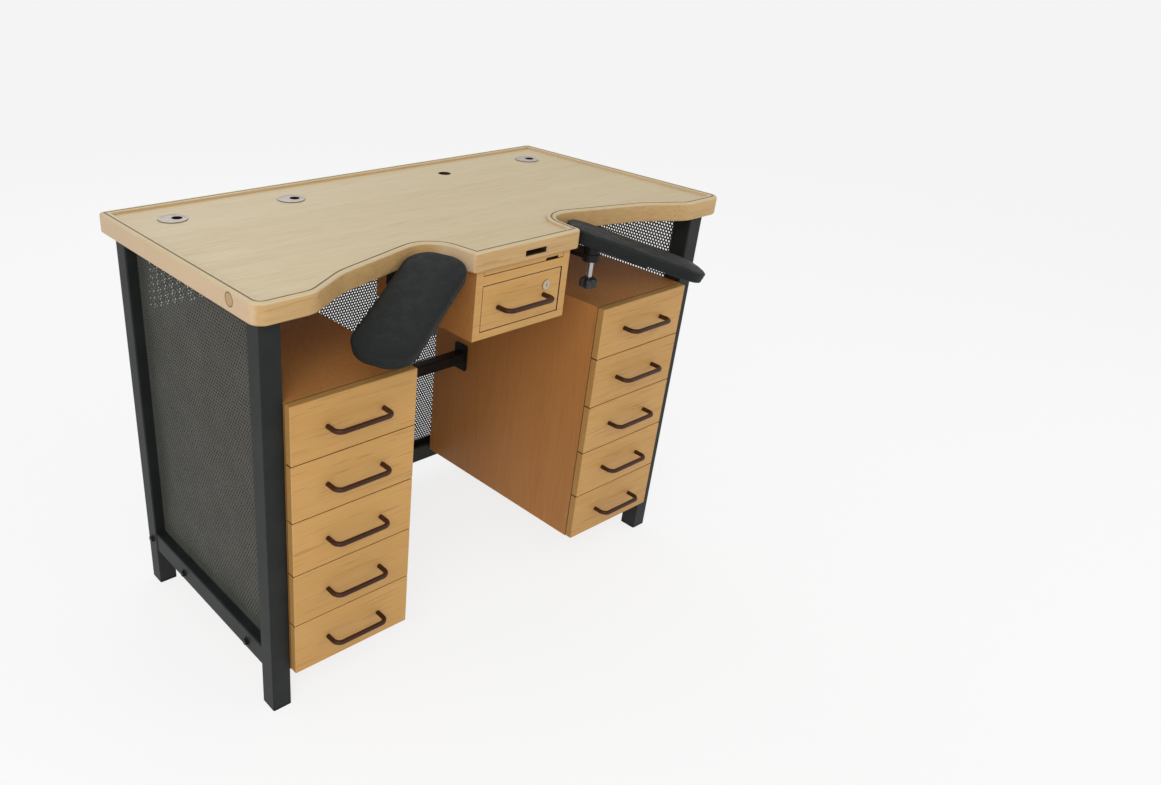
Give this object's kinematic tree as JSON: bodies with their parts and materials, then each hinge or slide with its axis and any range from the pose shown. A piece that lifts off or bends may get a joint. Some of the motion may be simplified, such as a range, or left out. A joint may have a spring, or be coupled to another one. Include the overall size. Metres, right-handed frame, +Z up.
{
  "type": "jewelers bench",
  "caption": "Watchmaker's and jeweller's bench with a lipped wooden top, arm cut-outs, swivelling armrests, drawer pedestals and a perforated steel frame.",
  "frame": {"origin": "on the floor under the middle of the bounding box", "axes": "+X to the user's right along the bench, +Y from the user to the back, +Z up"},
  "size_m": [1.2, 0.7462, 0.886],
  "materials": {
    "beech_top": "oiled pale beech, satin",
    "beech_veneer": "lacquered beech veneer, satin",
    "drawer_ply": "raw plywood",
    "slate_paint": "fine-textured slate powder coat",
    "perforated_sheet": "perforated sheet, slate powder coat",
    "black_paint": "black powder coat",
    "brown_rod": "brown-black lacquer",
    "leatherette": "charcoal leatherette",
    "lock_chrome": "nickel plated",
    "black_plastic": "moulded, matt",
    "silver_plastic": "silver lacquered"
  },
  "bodies": {
    "frame": {"worktop": "beech_top", "leg_front_left": "slate_paint", "leg_rear_left": "slate_paint", "side_rail_left": "slate_paint", "side_panel_left": "perforated_sheet", "leg_front_right": "slate_paint", "leg_rear_right": "slate_paint", "side_rail_right": "slate_paint", "side_panel_right": "perforated_sheet", "rear_rail": "slate_paint", "rear_panel": "perforated_sheet", "stretcher": "black_paint", "grommet_left": "silver_plastic", "grommet_middle": "silver_plastic", "grommet_right": "silver_plastic", "centre_housing": "beech_veneer", "pedestal_left": "beech_veneer", "armrest_bracket_left": "black_paint", "pedestal_right": "beech_veneer", "armrest_bracket_right": "black_paint"},
    "tray": {"pull_out_tray": "beech_veneer"},
    "centre_drawer": {"centre_drawer": "beech_veneer", "centre_drawer_handle": "brown_rod"},
    "drawer_lock": {"centre_drawer_lock": "lock_chrome"},
    "drawer_left_5": {"drawer_front_left_5": "beech_veneer", "drawer_box_left_5": "drawer_ply", "drawer_handle_left_5": "brown_rod"},
    "drawer_left_4": {"drawer_front_left_4": "beech_veneer", "drawer_box_left_4": "drawer_ply", "drawer_handle_left_4": "brown_rod"},
    "drawer_left_3": {"drawer_front_left_3": "beech_veneer", "drawer_box_left_3": "drawer_ply", "drawer_handle_left_3": "brown_rod"},
    "drawer_left_2": {"drawer_front_left_2": "beech_veneer", "drawer_box_left_2": "drawer_ply", "drawer_handle_left_2": "brown_rod"},
    "drawer_left_1": {"drawer_front_left_1": "beech_veneer", "drawer_box_left_1": "drawer_ply", "drawer_handle_left_1": "brown_rod"},
    "armrest_left": {"armrest_block_left": "black_paint", "armrest_pad_left": "leatherette"},
    "armrest_knob_left": {"armrest_knob_left": "black_plastic"},
    "drawer_right_5": {"drawer_front_right_5": "beech_veneer", "drawer_box_right_5": "drawer_ply", "drawer_handle_right_5": "brown_rod"},
    "drawer_right_4": {"drawer_front_right_4": "beech_veneer", "drawer_box_right_4": "drawer_ply", "drawer_handle_right_4": "brown_rod"},
    "drawer_right_3": {"drawer_front_right_3": "beech_veneer", "drawer_box_right_3": "drawer_ply", "drawer_handle_right_3": "brown_rod"},
    "drawer_right_2": {"drawer_front_right_2": "beech_veneer", "drawer_box_right_2": "drawer_ply", "drawer_handle_right_2": "brown_rod"},
    "drawer_right_1": {"drawer_front_right_1": "beech_veneer", "drawer_box_right_1": "drawer_ply", "drawer_handle_right_1": "brown_rod"},
    "armrest_right": {"armrest_block_right": "black_paint", "armrest_pad_right": "leatherette"},
    "armrest_knob_right": {"armrest_knob_right": "black_plastic"}
  },
  "joints": [
    {"name": "tray_slide", "type": "slide", "parent": "frame", "child": "tray", "axis": [0, -1, 0], "range_m": [0, 0.2]},
    {"name": "centre_drawer_slide", "type": "slide", "parent": "frame", "child": "centre_drawer", "axis": [0, -1, 0], "range_m": [0, 0.22]},
    {"name": "drawer_lock_turn", "type": "hinge", "parent": "centre_drawer", "child": "drawer_lock", "pos_m": [0.066, -0.22194, 0.783], "axis": [0, 1, 0], "range_deg": [0, 90]},
    {"name": "drawer_left_5_slide", "type": "slide", "parent": "frame", "child": "drawer_left_5", "axis": [0, -1, 0], "range_m": [0, 0.36]},
    {"name": "drawer_left_4_slide", "type": "slide", "parent": "frame", "child": "drawer_left_4", "axis": [0, -1, 0], "range_m": [0, 0.36]},
    {"name": "drawer_left_3_slide", "type": "slide", "parent": "frame", "child": "drawer_left_3", "axis": [0, -1, 0], "range_m": [0, 0.36]},
    {"name": "drawer_left_2_slide", "type": "slide", "parent": "frame", "child": "drawer_left_2", "axis": [0, -1, 0], "range_m": [0, 0.36]},
    {"name": "drawer_left_1_slide", "type": "slide", "parent": "frame", "child": "drawer_left_1", "axis": [0, -1, 0], "range_m": [0, 0.36]},
    {"name": "armrest_left_swivel", "type": "hinge", "parent": "frame", "child": "armrest_left", "pos_m": [-0.218, -0.20194, 0.814], "axis": [0, 0, 1], "range_deg": [-20, 40]},
    {"name": "armrest_left_knob_turn", "type": "hinge", "parent": "frame", "child": "armrest_knob_left", "pos_m": [-0.218, -0.20194, 0.76], "axis": [0, 0, 1], "continuous": true},
    {"name": "drawer_right_5_slide", "type": "slide", "parent": "frame", "child": "drawer_right_5", "axis": [0, -1, 0], "range_m": [0, 0.36]},
    {"name": "drawer_right_4_slide", "type": "slide", "parent": "frame", "child": "drawer_right_4", "axis": [0, -1, 0], "range_m": [0, 0.36]},
    {"name": "drawer_right_3_slide", "type": "slide", "parent": "frame", "child": "drawer_right_3", "axis": [0, -1, 0], "range_m": [0, 0.36]},
    {"name": "drawer_right_2_slide", "type": "slide", "parent": "frame", "child": "drawer_right_2", "axis": [0, -1, 0], "range_m": [0, 0.36]},
    {"name": "drawer_right_1_slide", "type": "slide", "parent": "frame", "child": "drawer_right_1", "axis": [0, -1, 0], "range_m": [0, 0.36]},
    {"name": "armrest_right_swivel", "type": "hinge", "parent": "frame", "child": "armrest_right", "pos_m": [0.218, -0.20194, 0.814], "axis": [0, 0, 1], "range_deg": [-35, 30]},
    {"name": "armrest_right_knob_turn", "type": "hinge", "parent": "frame", "child": "armrest_knob_right", "pos_m": [0.218, -0.20194, 0.76], "axis": [0, 0, 1], "continuous": true}
  ]
}
